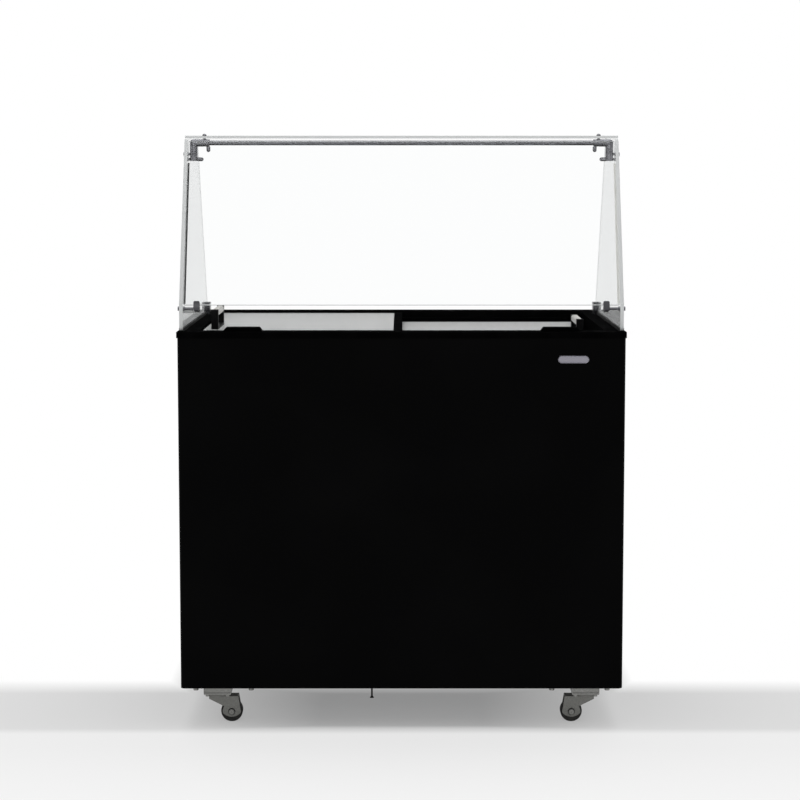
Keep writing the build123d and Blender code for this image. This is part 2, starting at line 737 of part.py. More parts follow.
pipe_radius = 4.0
pipe_z = grommet_top + 100.0
high_z = pipe_z + 120.0
discharge_x = compressor_x + 98.0
shell_y = compressor_half_y
condenser_mid_y = sum(condenser_y) / 2
tube_y = condenser_y[1] - 14
tube_z = condenser_z[0] + 20
suction_x = bay_x + 12.0
suction_y = compressor_y + shell_y + 35
routes = (
    # compressor to the condenser
    (
        (compressor_x, compressor_y - shell_y, pipe_z),
        (compressor_x, compressor_y - shell_y - 40, pipe_z),
        (discharge_x, compressor_y - shell_y - 40, pipe_z),
        (discharge_x, compressor_y - shell_y - 40, high_z),
        (discharge_x, condenser_mid_y, high_z),
        (discharge_x, condenser_mid_y, condenser_z[1]),
    ),
    # the coil round the tub back to the compressor
    (
        (compressor_x, compressor_y + shell_y, pipe_z + 20),
        (compressor_x, suction_y, pipe_z + 20),
        (suction_x, suction_y, pipe_z + 20),
        (suction_x, suction_y, bay_top),
    ),
    # condenser to the filter drier
    (
        (condenser_x[0] - 5, tube_y, tube_z),
        (drier_x, tube_y, tube_z),
        (drier_x, drier_y, tube_z),
        (drier_x, drier_y, drier_z[0] - 12),
    ),
)
with BuildPart() as refrigerant_pipes:
    for route, bend in zip(routes, (14, 14, 5)):
        with BuildLine() as path:
            FilletPolyline(*route, radius=bend)
        with BuildSketch(Plane(path.line @ 0, z_dir=path.line % 0)):
            Circle(pipe_radius)
        sweep(path=path.line)
    rod_z(drier_x, drier_y, (drier_z[1] + 12, bay_top), 1.5)
save(refrigerant_pipes, "refrigerant_pipes")

# --- controls, recessed into the rear of the machine bay ------------------------------
panel_wall = 2.0
recess = 20.0
panel_face = half_depth - recess
control_mid_z = (control_z[0] + control_z[1]) / 2
knob_x = control_x[0] + 30.0
rocker_x = control_x[0] + 72.0
gland_x = control_x[0] + 112.0
knob_radius = 15.0
rocker_pivot_y = panel_face - 6.0
pin_radius = 1.5
with BuildPart() as control_panel:
    clear = 0.3
    tray_x = (control_x[0] + clear, control_x[1] - clear)
    tray_z = (control_z[0] + clear, control_z[1] - clear)
    slab(tray_x, (panel_face - panel_wall, half_depth), tray_z)
    well_x = (tray_x[0] + panel_wall, tray_x[1] - panel_wall)
    well_z = (tray_z[0] + panel_wall, tray_z[1] - panel_wall)
    slab(well_x, (panel_face, half_depth + 5), well_z, Mode.SUBTRACT)
    rod_y(knob_x, (0, 400), control_mid_z, 4.0, Mode.SUBTRACT)
    slot_x = (rocker_x - 8.3, rocker_x + 8.3)
    slot_z = (control_mid_z - 12.3, control_mid_z + 12.3)
    slab(slot_x, (0, 400), slot_z, Mode.SUBTRACT)
    rod_y(gland_x, (0, 400), control_mid_z, 8.1, Mode.SUBTRACT)
    # two lugs behind the slot, which carry the rocker's pivot pins
    lug_z = (control_mid_z - 4, control_mid_z + 4)
    for side in (-1, 1):
        lug_x = sorted((rocker_x + side * 8.3, rocker_x + side * 11.3))
        slab(lug_x, (rocker_pivot_y - 4, panel_face - panel_wall), lug_z)
    pin_hole = (rocker_x - 12, rocker_x + 12)
    rod_x(pin_hole, rocker_pivot_y, control_mid_z, pin_radius + 0.05, Mode.SUBTRACT)
save(control_panel, "control_panel")

spindle_radius = 3.0
with BuildPart() as thermostat:
    case_z = (control_mid_z - 18, control_mid_z + 18)
    slab((knob_x - 20, knob_x + 20), (panel_face - 32, panel_face - panel_wall), case_z)
    rod_y(knob_x, (panel_face - 5, panel_face + 10), control_mid_z, spindle_radius)
save(thermostat, "thermostat")

with BuildPart() as thermostat_knob:
    rod_y(knob_x, (panel_face + 1, panel_face + 15), control_mid_z, knob_radius)
    fillet(thermostat_knob.faces().sort_by(Axis.Y)[-1].edges(), 2.0)
    ridge_z = (control_mid_z - 12, control_mid_z + 12)
    slab((knob_x - 2.5, knob_x + 2.5), (panel_face + 12, panel_face + 18), ridge_z)
    rod_y(knob_x, (0, panel_face + 10.5), control_mid_z, spindle_radius + 0.05, Mode.SUBTRACT)
save(thermostat_knob, "thermostat_knob")

with BuildPart() as rocker_switch:
    with BuildSketch(Plane.YZ.offset(rocker_x - 7.5)):
        with BuildLine():
            Polyline(
                (rocker_pivot_y - 3, control_mid_z - 4),
                (panel_face - 4, control_mid_z - 9),
                (panel_face + 4, control_mid_z - 11),
                (panel_face + 2.5, control_mid_z),
                (panel_face + 4, control_mid_z + 11),
                (panel_face - 4, control_mid_z + 9),
                (rocker_pivot_y - 3, control_mid_z + 4),
                close=True,
            )
        make_face()
    extrude(amount=15)
    rod_x((rocker_x - 11, rocker_x + 11), rocker_pivot_y, control_mid_z, pin_radius)
save(rocker_switch, "rocker_switch")

cord_radius = 4.1
with BuildPart() as cable_gland:
    rod_y(gland_x, (panel_face - 12, panel_face), control_mid_z, 8.0)
    with BuildSketch(Plane.XZ.offset(-panel_face)):
        with Locations((gland_x, control_mid_z)):
            RegularPolygon(12, 6)
    extrude(amount=-7)
    rod_y(gland_x, (panel_face + 7, panel_face + 16), control_mid_z, 9.0)
    fillet(cable_gland.faces().sort_by(Axis.Y)[-1].edges(), 3.0)
    rod_y(gland_x, (0, 400), control_mid_z, cord_radius, Mode.SUBTRACT)
save(cable_gland, "cable_gland")

# --- castors ------------------------------------------------------------------------
plate_size = 62.0
plate_sheet = 2.5
fork_top = 61.0
fork_sheet = 2.5
cheek_outer = wheel_width / 2 + 1.5 + fork_sheet
axle_radius = 4.0
king_radius = 5.0
rim_radius = 14.0
cheek_radius = 21.0
cheek_foot_radius = 27.0
cheek_foot_rise = 14.5
rivet_spot = 23.0
places = [
    (side_x, side_y, f"castor_{end}_{hand}")
    for side_y, end in ((-1, "front"), (1, "rear"))
    for side_x, hand in ((-1, "left"), (1, "right"))
]

with BuildPart() as castor_plates:
    for side_x, side_y, _ in places:
        x = side_x * castor_x
        y = side_y * castor_y
        half = plate_size / 2
        slab((x - half, x + half), (y - half, y + half), (castor_top - plate_sheet, castor_top))
        rod_z(x, y, (fork_top + 0.3, castor_top - plate_sheet), 20.0)
        rod_z(x, y, (fork_top - fork_sheet - 3.3, castor_top - plate_sheet), king_radius)
        rod_z(x, y, (fork_top - fork_sheet - 3.3, fork_top - fork_sheet - 0.3), 8.0)
        for dx in (-rivet_spot, rivet_spot):
            for dy in (-rivet_spot, rivet_spot):
                rod_z(x + dx, y + dy, (castor_top - plate_sheet - 5, castor_top), 5.0)
save(castor_plates, "castor_plates")

for side_x, side_y, name in places:
    x = side_x * castor_x
    y = side_y * castor_y
    axle_x = x - side_x * castor_trail
    trail = -side_x

    with BuildPart() as fork:
        for cheek in (-1, 1):
            with BuildSketch(Plane.XZ.offset(-(y + cheek * (cheek_outer - fork_sheet / 2)))):
                with Locations((axle_x, wheel_radius)):
                    Circle(cheek_radius)
                with Locations((axle_x, wheel_radius + cheek_foot_rise)):
                    Circle(cheek_foot_radius, mode=Mode.INTERSECT)
                with BuildLine():
                    Polyline(
                        (x - trail * 21, fork_top),
                        (x + trail * 46, fork_top),
                        (x + trail * 51.9, 27),
                        (axle_x, wheel_radius),
                        (x + trail * 14, 37.4),
                        (x - trail * 21, fork_top - 6),
                        close=True,
                    )
                make_face()
            extrude(amount=fork_sheet / 2, both=True)
        crown = sorted((x - trail * 21, x + trail * 46))
        slab(crown, (y - cheek_outer, y + cheek_outer), (fork_top - fork_sheet, fork_top))
        rod_z(x, y, (0, 90), king_radius + 0.05, Mode.SUBTRACT)
        rod_y(axle_x, (y - 30, y + 30), wheel_radius, axle_radius, Mode.SUBTRACT)
        rod_y(axle_x, (y - cheek_outer - 1, y + cheek_outer + 1), wheel_radius, axle_radius)
        rod_y(axle_x, (y - cheek_outer - 4, y - cheek_outer), wheel_radius, 6.5)
        rod_y(axle_x, (y + cheek_outer, y + cheek_outer + 4), wheel_radius, 6.5)
    save(fork, f"{name}_fork")

    half = wheel_width / 2
    with BuildPart() as hub:
        rod_y(axle_x, (y - half - 0.8, y + half + 0.8), wheel_radius, 10.0)
        rod_y(axle_x, (y - half + 1.5, y + half - 1.5), wheel_radius, rim_radius)
        rod_y(axle_x, (y - 30, y + 30), wheel_radius, axle_radius + 0.05, Mode.SUBTRACT)
    save(hub, f"{name}_hub")

    with BuildPart() as tyre:
        rod_y(axle_x, (y - half, y + half), wheel_radius, wheel_radius)
        fillet(tyre.edges().filter_by(GeomType.CIRCLE), 3.0)
        rod_y(axle_x, (y - 30, y + 30), wheel_radius, rim_radius, Mode.SUBTRACT)
    save(tyre, f"{name}_tyre")
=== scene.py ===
"""Looks of the serving chest freezer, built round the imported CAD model, in metres and in the
CAD frame. Numbers given to finish_piece's meshes are in millimetres."""

import json
import math

import bmesh
import bpy
from mathutils import Matrix, Vector


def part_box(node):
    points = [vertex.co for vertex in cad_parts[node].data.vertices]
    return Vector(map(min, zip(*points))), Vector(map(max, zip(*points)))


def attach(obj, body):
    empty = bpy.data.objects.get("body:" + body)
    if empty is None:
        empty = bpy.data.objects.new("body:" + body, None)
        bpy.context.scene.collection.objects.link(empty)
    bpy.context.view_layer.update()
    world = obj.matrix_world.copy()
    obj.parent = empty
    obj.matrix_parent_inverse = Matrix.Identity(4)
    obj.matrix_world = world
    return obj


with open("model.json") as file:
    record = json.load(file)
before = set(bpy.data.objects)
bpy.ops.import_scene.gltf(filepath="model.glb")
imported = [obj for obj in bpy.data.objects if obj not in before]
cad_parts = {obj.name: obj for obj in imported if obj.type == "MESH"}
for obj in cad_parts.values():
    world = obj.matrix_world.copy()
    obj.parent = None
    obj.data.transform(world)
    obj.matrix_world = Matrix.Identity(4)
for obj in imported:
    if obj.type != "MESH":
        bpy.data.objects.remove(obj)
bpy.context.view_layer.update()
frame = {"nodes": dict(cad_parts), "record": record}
nodes = frame["nodes"]
scene = bpy.context.scene

# --- camera -------------------------------------------------------------------------
# Fitted to the photo. A level camera fits best, but its shift would cut other views off, so
# this one shifts less and looks down a little.
LENS = 79.44
SENSOR = 36.0
SHIFT = (-0.0019, -0.10)
CAMERA_PLACE = (0.0, -4.2677, 1.2753)
LOOK_DOWN = 4.88

camera_data = bpy.data.cameras.new("camera")
camera_data.lens = LENS
camera_data.sensor_width = SENSOR
camera_data.shift_x, camera_data.shift_y = SHIFT
camera = bpy.data.objects.new("camera", camera_data)
camera.location = CAMERA_PLACE
camera.rotation_euler = (math.radians(90 - LOOK_DOWN), 0, 0)
scene.collection.objects.link(camera)
scene.camera = camera
scene.view_settings.view_transform = "Standard"


# --- materials ----------------------------------------------------------------------
def link(tree, source, target):
    tree.links.new(source, target)


def node(tree, kind, **values):
    """A new shader node with its properties, and its inputs by name, set."""
    made = tree.nodes.new(kind)
    for key, value in values.items():
        if key in made.bl_rna.properties:
            setattr(made, key, value)
        else:
            made.inputs[key.replace("_", " ")].default_value = value
    return made


def ramp(tree, source, low, high, to_low, to_high):
    """source, taken from low..high to to_low..to_high."""
    made = node(tree, "ShaderNodeMapRange")
    made.inputs["From Min"].default_value = low
    made.inputs["From Max"].default_value = high
    made.inputs["To Min"].default_value = to_low
    made.inputs["To Max"].default_value = to_high
    link(tree, source, made.inputs["Value"])
    return made.outputs["Result"]


# sockets of a Mix node that mixes colours, and of one that mixes numbers
COLOR_A, COLOR_B, COLOR_RESULT = 6, 7, 2
NUMBER_A, NUMBER_B, NUMBER_RESULT = 2, 3, 0


class Surface:
    """A material with a Principled shader, object coordinates and a chain of bumps."""

    def __init__(self, name, color, rough, metallic=0.0, specular=0.5, ior=1.5):
        self.material = bpy.data.materials.new(name)
        self.material.use_nodes = True
        self.tree = self.material.node_tree
        self.shader = self.tree.nodes["Principled BSDF"]
        self.set("Base Color", (*color, 1.0))
        self.set("Roughness", rough)
        self.set("Metallic", metallic)
        self.set("Specular IOR Level", specular)
        self.set("IOR", ior)
        self.coords = node(self.tree, "ShaderNodeTexCoord").outputs["Object"]
        self.height = None

    def set(self, socket, value):
        self.shader.inputs[socket].default_value = value

    def stretched(self, scale):
        mapping = node(self.tree, "ShaderNodeMapping")
        mapping.inputs["Scale"].default_value = scale
        link(self.tree, self.coords, mapping.inputs["Vector"])
        return mapping.outputs["Vector"]

    def noise(self, scale, detail=3.0, stretch=None):
        made = node(self.tree, "ShaderNodeTexNoise", Scale=scale, Detail=detail)
        coords = self.stretched(stretch) if stretch else self.coords
        link(self.tree, coords, made.inputs["Vector"])
        return made.outputs["Fac"]

    def cells(self, scale, feature="F1", output="Distance"):
        made = node(self.tree, "ShaderNodeTexVoronoi", Scale=scale, feature=feature)
        link(self.tree, self.coords, made.inputs["Vector"])
        return made.outputs[output]

    def axis(self, letter):
        made = node(self.tree, "ShaderNodeSeparateXYZ")
        link(self.tree, self.coords, made.inputs["Vector"])
        return made.outputs[letter]

    def tint(self, source, dark, light, low=0.35, high=0.65):
        """Base colour from dark to light as source goes from low to high."""
        mix = node(self.tree, "ShaderNodeMix", data_type="RGBA")
        link(self.tree, ramp(self.tree, source, low, high, 0.0, 1.0), mix.inputs["Factor"])
        mix.inputs[COLOR_A].default_value = (*dark, 1.0)
        mix.inputs[COLOR_B].default_value = (*light, 1.0)
        link(self.tree, mix.outputs[COLOR_RESULT], self.shader.inputs["Base Color"])

    def gloss(self, source, low_rough, high_rough, low=0.3, high=0.7):
        link(self.tree, ramp(self.tree, source, low, high, low_rough, high_rough),
             self.shader.inputs["Roughness"])

    def bump(self, source, depth, strength=1.0):
        """One more bump, depth metres high, on top of those before it."""
        made = node(self.tree, "ShaderNodeBump", Strength=strength, Distance=depth)
        link(self.tree, source, made.inputs["Height"])
        if self.height is not None:
            link(self.tree, self.height, made.inputs["Normal"])
        self.height = made.outputs["Normal"]
        link(self.tree, self.height, self.shader.inputs["Normal"])


def powder_coat(name, color, dusty, rough=(0.38, 0.44), specular=0.5):
    made = Surface(name, color, 0.4, specular=specular)
    made.gloss(made.noise(9.0, 5.0), *rough)
    made.tint(made.noise(3.5, 6.0), color, dusty, 0.45, 0.8)
    made.bump(made.noise(900.0, 2.0), 0.0001, 0.5)
    made.bump(made.noise(60.0, 2.0), 0.0002, 0.25)
    return made.material


def moulded_plastic(name, color, worn, rough=(0.4, 0.55), specular=0.3):
    made = Surface(name, color, 0.5, specular=specular)
    made.gloss(made.noise(14.0, 4.0), *rough)
    made.tint(made.noise(22.0, 5.0), color, worn, 0.4, 0.85)
    made.bump(made.cells(1600.0), 0.00008, 0.25)
    return made.material


def zinc(name, dark, light, grain=260.0, rough=(0.34, 0.5)):
    """Dull galvanised steel: faint crystals over a slow drift of tone."""
    made = Surface(name, light, 0.4, metallic=0.9)
    crystals = made.cells(grain, output="Color")
    grey = node(made.tree, "ShaderNodeRGBToBW")
    link(made.tree, crystals, grey.inputs["Color"])
    drift = made.noise(6.0, 5.0)
    both = node(made.tree, "ShaderNodeMath", operation="MULTIPLY")
    link(made.tree, grey.outputs["Val"], both.inputs[0])
    link(made.tree, drift, both.inputs[1])
    made.tint(both.outputs[0], dark, light, 0.1, 0.4)
    made.gloss(drift, *rough)
    made.bump(made.noise(900.0, 2.0), 0.00006, 0.25)
    return made.material


def brushed_metal(name, dark, light, stretch, rough=(0.16, 0.32)):
    made = Surface(name, light, 0.25, metallic=1.0)
    lines = made.noise(90.0, 4.0, stretch)
    made.tint(lines, dark, light, 0.3, 0.7)
    made.gloss(lines, *rough)
    made.bump(lines, 0.00005, 0.35)
    return made.material


def stucco_aluminium(name):
    made = Surface(name, (0.78, 0.79, 0.8), 0.35, metallic=0.85)
    pebbles = made.cells(170.0, feature="SMOOTH_F1")
    made.bump(pebbles, 0.0006, 0.7)
    made.tint(made.noise(5.0, 5.0), (0.66, 0.68, 0.7), (0.8, 0.81, 0.82))
    made.gloss(made.noise(40.0, 3.0), 0.28, 0.45)
    return made.material


def pane_glass(name, across, clear, steep, ground, rough=(0.0, 0.015), ior=1.3,
               through=(1.0, 1.0)):
    """Sheet glass: clear seen face on, steep seen along its face, and ground on its edges, which
    face away from across. through is how much passes, face on and along. Lamps shine through."""
    made = Surface(name, clear, 0.01, ior=ior)
    tree = made.tree
    facing = node(tree, "ShaderNodeLayerWeight", Blend=0.5).outputs["Facing"]
    made.tint(facing, clear, steep, *STEEP_FROM_TO)
    geometry = node(tree, "ShaderNodeNewGeometry")
    along = node(tree, "ShaderNodeVectorMath", operation="DOT_PRODUCT")
    link(tree, geometry.outputs["True Normal"], along.inputs[0])
    along.inputs[1].default_value = across
    size = node(tree, "ShaderNodeMath", operation="ABSOLUTE")
    link(tree, along.outputs["Value"], size.inputs[0])
    face = ramp(tree, size.outputs[0], *EDGE_FROM_TO, 0.0, 1.0)
    body = made.shader.inputs["Base Color"].links[0].from_socket
    colour = node(tree, "ShaderNodeMix", data_type="RGBA")
    link(tree, face, colour.inputs["Factor"])
    colour.inputs[COLOR_A].default_value = (*ground, 1.0)
    link(tree, body, colour.inputs[COLOR_B])
    link(tree, colour.outputs[COLOR_RESULT], made.shader.inputs["Base Color"])
    passing = ramp(tree, facing, *STEEP_FROM_TO, *through)
    kept = node(tree, "ShaderNodeMath", operation="MULTIPLY")
    link(tree, passing, kept.inputs[0])
    link(tree, ramp(tree, face, 0.0, 1.0, GROUND_PASSES, 1.0), kept.inputs[1])
    link(tree, kept.outputs[0], made.shader.inputs["Transmission Weight"])
    haze = ramp(tree, made.noise(7.0, 4.0), 0.45, 0.8, *rough)
    gloss = node(tree, "ShaderNodeMix", data_type="FLOAT")
    link(tree, face, gloss.inputs["Factor"])
    gloss.inputs[NUMBER_A].default_value = GROUND_ROUGHNESS
    link(tree, haze, gloss.inputs[NUMBER_B])
    link(tree, gloss.outputs[NUMBER_RESULT], made.shader.inputs["Roughness"])
    lamps = node(tree, "ShaderNodeBsdfTransparent", Color=(*LET_THROUGH, 1.0))
    path = node(tree, "ShaderNodeLightPath")
    either = node(tree, "ShaderNodeMixShader")
    link(tree, path.outputs["Is Shadow Ray"], either.inputs["Fac"])
    link(tree, made.shader.outputs[0], either.inputs[1])
    link(tree, lamps.outputs[0], either.inputs[2])
    link(tree, either.outputs[0], tree.nodes["Material Output"].inputs["Surface"])
    return made.material


def soft_rubber(name, color, dusty):
    made = Surface(name, color, 0.75, specular=0.3)
    made.tint(made.noise(60.0, 6.0), color, dusty, 0.4, 0.9)
    made.gloss(made.noise(90.0, 3.0), 0.62, 0.85)
    made.bump(made.noise(1300.0, 2.0), 0.0001, 0.5)
    return made.material


def expanded_foam(name):
    made = Surface(name, (0.82, 0.72, 0.48), 0.9, specular=0.2)
    made.tint(made.noise(20.0, 6.0), (0.72, 0.6, 0.36), (0.88, 0.8, 0.56))
    made.bump(made.cells(400.0), 0.0008, 0.8)
    return made.material


# the glass: where its tint turns steep, which normals are its edge, and its ground edges
STEEP_FROM_TO = (0.35, 0.95)
EDGE_FROM_TO = (0.7, 0.9)
GROUND_PASSES = 0.12
GROUND_ROUGHNESS = 0.4
LET_THROUGH = (0.93, 0.94, 0.94)
SIDEWAYS = (1.0, 0.0, 0.0)
UPWARDS = (0.0, 0.0, 1.0)
FRONT_GLASS_NORMAL = (0.0, -0.95, 0.311)
GUARD_CLEAR = (0.985, 0.992, 0.992)
GUARD_STEEP = (0.42, 0.43, 0.432)
GUARD_GROUND = (0.7, 0.715, 0.715)

looks = {
    "black_steel": powder_coat("powder_coat", (0.0009, 0.0009, 0.001), (0.0019, 0.0019, 0.002),
                               specular=0.022),
    "grey_steel": zinc("galvanised_sheet", (0.3, 0.305, 0.31), (0.4, 0.405, 0.41)),
    "galvanised_steel": zinc("galvanised_channel", (0.2, 0.2, 0.19), (0.3, 0.3, 0.29), 700.0),
    "foam": expanded_foam("foam"),
    "liner_aluminium": stucco_aluminium("stucco_aluminium"),
    "black_frame_plastic": moulded_plastic("black_moulding", (0.0012, 0.0012, 0.0013),
                                           (0.0026, 0.0026, 0.0027), (0.6, 0.72), 0.001),
    "badge_metal": brushed_metal("badge_metal", (0.22, 0.213, 0.25), (0.29, 0.283, 0.32),
                                 (0.03, 1.0, 1.0)),
    "copper_tube": brushed_metal("copper", (0.55, 0.27, 0.17), (0.8, 0.44, 0.3), (1.0, 1.0, 1.0)),
    "aluminium": brushed_metal("mill_aluminium", (0.5, 0.51, 0.52), (0.72, 0.73, 0.74),
                               (1.0, 1.0, 0.1)),
    "guard_glass": pane_glass("guard_glass", SIDEWAYS, GUARD_CLEAR, GUARD_STEEP, GUARD_GROUND),
    "lid_glass": pane_glass("lid_glass", UPWARDS, (0.86, 0.88, 0.885), (0.73, 0.73, 0.725),
                            (0.5, 0.52, 0.52), (0.07, 0.09), ior=1.15, through=(0.85, 0.25)),
    "seal_rubber": soft_rubber("seal_rubber", (0.012, 0.012, 0.012), (0.03, 0.03, 0.03)),
    "polished_steel": brushed_metal("polished_steel", (0.1, 0.1, 0.11), (0.17, 0.17, 0.182),
                                    (0.05, 1.0, 1.0), (0.14, 0.26)),
    "compressor_black": powder_coat("compressor_enamel", (0.01, 0.01, 0.011),
                                    (0.03, 0.03, 0.03), (0.15, 0.3)),
    "dark_plastic": moulded_plastic("dark_plastic", (0.012, 0.012, 0.013), (0.022, 0.022, 0.023)),
    "motor_metal": brushed_metal("motor_metal", (0.35, 0.35, 0.37), (0.55, 0.55, 0.57),
                                 (1.0, 0.1, 1.0)),
    "white_plastic": moulded_plastic("white_plastic", (0.7, 0.7, 0.67), (0.6, 0.59, 0.54)),
    "light_grip_plastic": moulded_plastic("grip_plastic", (0.52, 0.51, 0.49),
                                          (0.42, 0.41, 0.39), (0.3, 0.42)),
    "castor_steel": zinc("castor_zinc", (0.15, 0.15, 0.141), (0.215, 0.215, 0.203), 900.0,
                         (0.4, 0.52)),
    "hub_plastic": moulded_plastic("hub_plastic", (0.3, 0.3, 0.29), (0.2, 0.2, 0.19)),
    "tyre_rubber": soft_rubber("tyre_rubber", (0.014, 0.014, 0.0135), (0.03, 0.029, 0.027)),
}


def dress(name, material):
    """Gives a CAD node its one material."""
    finishes = nodes[name].data.materials
    finishes.clear()
    finishes.append(material)


for row in frame["record"]["subparts"]:
    dress(row["node"], looks[row["material_slot"]])
handle_black = moulded_plastic("handle_plastic", (0.003, 0.003, 0.0033), (0.007, 0.007, 0.007),
                               specular=0.06)
for name in ("upper_lid_handle", "lower_lid_handle", "drain_plug"):
    dress(name, handle_black)
for name, across in (("front_glass", FRONT_GLASS_NORMAL), ("top_glass", UPWARDS)):
    dress(name, pane_glass(name, across, GUARD_CLEAR, GUARD_STEEP, GUARD_GROUND))

# --- detail pieces ------------------------------------------------------------------
MM = 0.001
BACKWARDS = (0, 1, 0)


def finish_piece(name, mesh, body, slot, bevel=0.0, smooth=False):
    """A new piece from a bmesh in millimetres, with its finish, riding its body."""
    bmesh.ops.scale(mesh, vec=(MM, MM, MM), verts=mesh.verts)
    bmesh.ops.recalc_face_normals(mesh, faces=mesh.faces)
    data = bpy.data.meshes.new(name)
    mesh.to_mesh(data)
    mesh.free()
    if smooth:
        data.shade_smooth()
    data.materials.append(looks[slot])
    made = bpy.data.objects.new(name, data)
    scene.collection.objects.link(made)
    if bevel:
        edge = made.modifiers.new("edge", "BEVEL")
        edge.width = bevel * MM
        edge.segments = 2
        edge.limit_method = "ANGLE"
        edge.angle_limit = math.radians(40)
    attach(made, body)


def block(mesh, low, high):
    """A box between two corners."""
    made = bmesh.ops.create_cube(mesh, size=1.0)["verts"]
    middle = [(a + b) / 2 for a, b in zip(low, high)]
    size = [b - a for a, b in zip(low, high)]
    bmesh.ops.scale(mesh, vec=size, verts=made)
    bmesh.ops.translate(mesh, vec=middle, verts=made)
    return made


def lathe(mesh, profile, place, outward, steps=32, dent=None):
    """A turned shape: profile is (radius, height) pairs, height along outward from place. It
    closes by starting and ending on the axis, or at one point. dent(point) is how far a point
    goes down."""
    turn = Vector((0, 0, 1)).rotation_difference(Vector(outward)).to_matrix().to_4x4()
    set_down = Matrix.Translation(place) @ turn
    rings = []
    for radius, height in profile:
        count = 1 if radius == 0 else steps
        ring = []
        for i in range(count):
            angle = 2 * math.pi * i / steps
            spot = Vector((radius * math.cos(angle), radius * math.sin(angle), height))
            if dent:
                spot.z -= dent(spot)
            ring.append(mesh.verts.new(set_down @ spot))
        rings.append(ring)
    for near, far in zip(rings, rings[1:]):
        for i in range(steps):
            j = (i + 1) % steps
            corners = [near[i % len(near)], near[j % len(near)],
                       far[j % len(far)], far[i % len(far)]]
            mesh.faces.new(list(dict.fromkeys(corners)))


def cross_recess(radius, depth, face):
    """The dent of a cross slot in a head of that radius, for lathe: depth at the slot's points
    that are above face, and nothing elsewhere."""
    def dent(spot):
        arm, across = sorted((abs(spot.x), abs(spot.y)), reverse=True)
        inside = across <= 0.16 * radius and arm <= 0.62 * radius and spot.z > face
        return depth if inside else 0.0
    return dent


def screws(name, places, outward, radius, height, slot="castor_steel"):
    """Pan heads with a cross recess, all in one piece."""
    mesh = bmesh.new()
    top = [(radius * k / 12, height * (1 - 0.28 * (k / 12) ** 2)) for k in range(12)]
    profile = [*top, (radius, height * 0.55), (radius, 0.0), (0.0, 0.0)]
    for place in places:
        lathe(mesh, profile, place, outward, 48, cross_recess(radius, height * 0.6, height * 0.5))
    finish_piece(name, mesh, "cabinet", slot)


def node_box(name):
    """A CAD node's corners in millimetres."""
    return [tuple(value / MM for value in corner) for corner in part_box(name)]


# screws of the rear panel, along its four edges
rear_low, rear_high = node_box("rear_panel")
rear_y = rear_high[1]
panel_rows = (rear_low[2] + 9, 842)
panel_columns = (-470, -235, 0, 235, 470)
side_rows = (300, 480, 660)
side_columns = (-481, 481)
spots = [(x, rear_y, z) for x in panel_columns for z in panel_rows]
spots += [(x, rear_y, z) for x in side_columns for z in side_rows]
screws("rear_panel_screws", spots, BACKWARDS, 3.6, 1.9)

# screws in the corners of the two grilles, which are one node, so their inner edges are given
grille_low, grille_high = node_box("vent_grilles")
rear_grille_right, rear_grille_top = 474.7, 291.7
side_grille_rear, side_grille_bottom = 149.7, 135.3
inset = 4.6
spots = [(x, rear_y, z) for x in (grille_low[0] + inset, rear_grille_right - inset)
         for z in (grille_low[2] + inset, rear_grille_top - inset)]
screws("rear_grille_screws", spots, BACKWARDS, 2.6, 1.5)
spots = [(grille_high[0], y, z) for y in (grille_low[1] + inset, side_grille_rear - inset)
         for z in (side_grille_bottom + inset, grille_high[2] - inset)]
screws("side_grille_screws", spots, SIDEWAYS, 2.6, 1.5)

# a printed scale of plain marks round the thermostat's knob
knob_low, knob_high = node_box("thermostat_knob")
knob_x = (knob_low[0] + knob_high[0]) / 2
knob_z = (knob_low[2] + knob_high[2]) / 2
panel_y = 300.0
mark_ring = 16.4
first_mark, mark_step = -135, 30
marks = bmesh.new()
for k in range(10):
    angle = math.radians(first_mark + mark_step * k)
    long = 1.0 + 0.28 * k
    bar = block(marks, (-0.45, 0.0, 0.0), (0.45, 0.18, long))
    spin = Matrix.Rotation(angle, 4, "Y")
    move = Matrix.Translation((knob_x, panel_y, knob_z))
    lift = Matrix.Translation((0, 0, mark_ring))
    bmesh.ops.transform(marks, matrix=move @ spin @ lift, verts=bar)
finish_piece("thermostat_marks", marks, "cabinet", "white_plastic")

# a pointer on the knob's ridge
pointer = bmesh.new()
block(pointer, (knob_x - 0.6, knob_high[1] - 0.1, knob_z + 3.0),
      (knob_x + 0.6, knob_high[1] + 0.15, knob_z + 12.5))
finish_piece("knob_pointer", pointer, "thermostat_knob", "white_plastic")

# glazing bead on the free end of the upper lid, and the brush that closes the gap under it
lid_low, lid_high = node_box("upper_lid_frame")
glass_low, glass_high = node_box("upper_lid_glass")
lower_high = node_box("lower_lid_frame")[1]
bead = bmesh.new()
block(bead, (glass_high[0] - 8.5, glass_low[1] + 0.5, glass_high[2] + 0.02),
      (glass_high[0] + 0.2, glass_high[1] - 0.5, lid_high[2] - 0.1))
finish_piece("upper_lid_bead", bead, "upper_lid", "black_frame_plastic", 0.3)
brush = bmesh.new()
block(brush, (-13.0, lid_low[1] + 14, lid_low[2] - 2.2),
      (-3.0, lid_high[1] - 14, lid_low[2] + 0.01))
tufts = 88
end_gap = 16
for k in range(tufts):
    y = lid_low[1] + end_gap + k * (lid_high[1] - lid_low[1] - 2 * end_gap) / (tufts - 1)
    block(brush, (-11.0, y - 1.6, lower_high[2] + 0.4), (-5.0, y + 1.6, lid_low[2] - 2.0))
finish_piece("upper_lid_brush", brush, "upper_lid", "dark_plastic", 0.25)

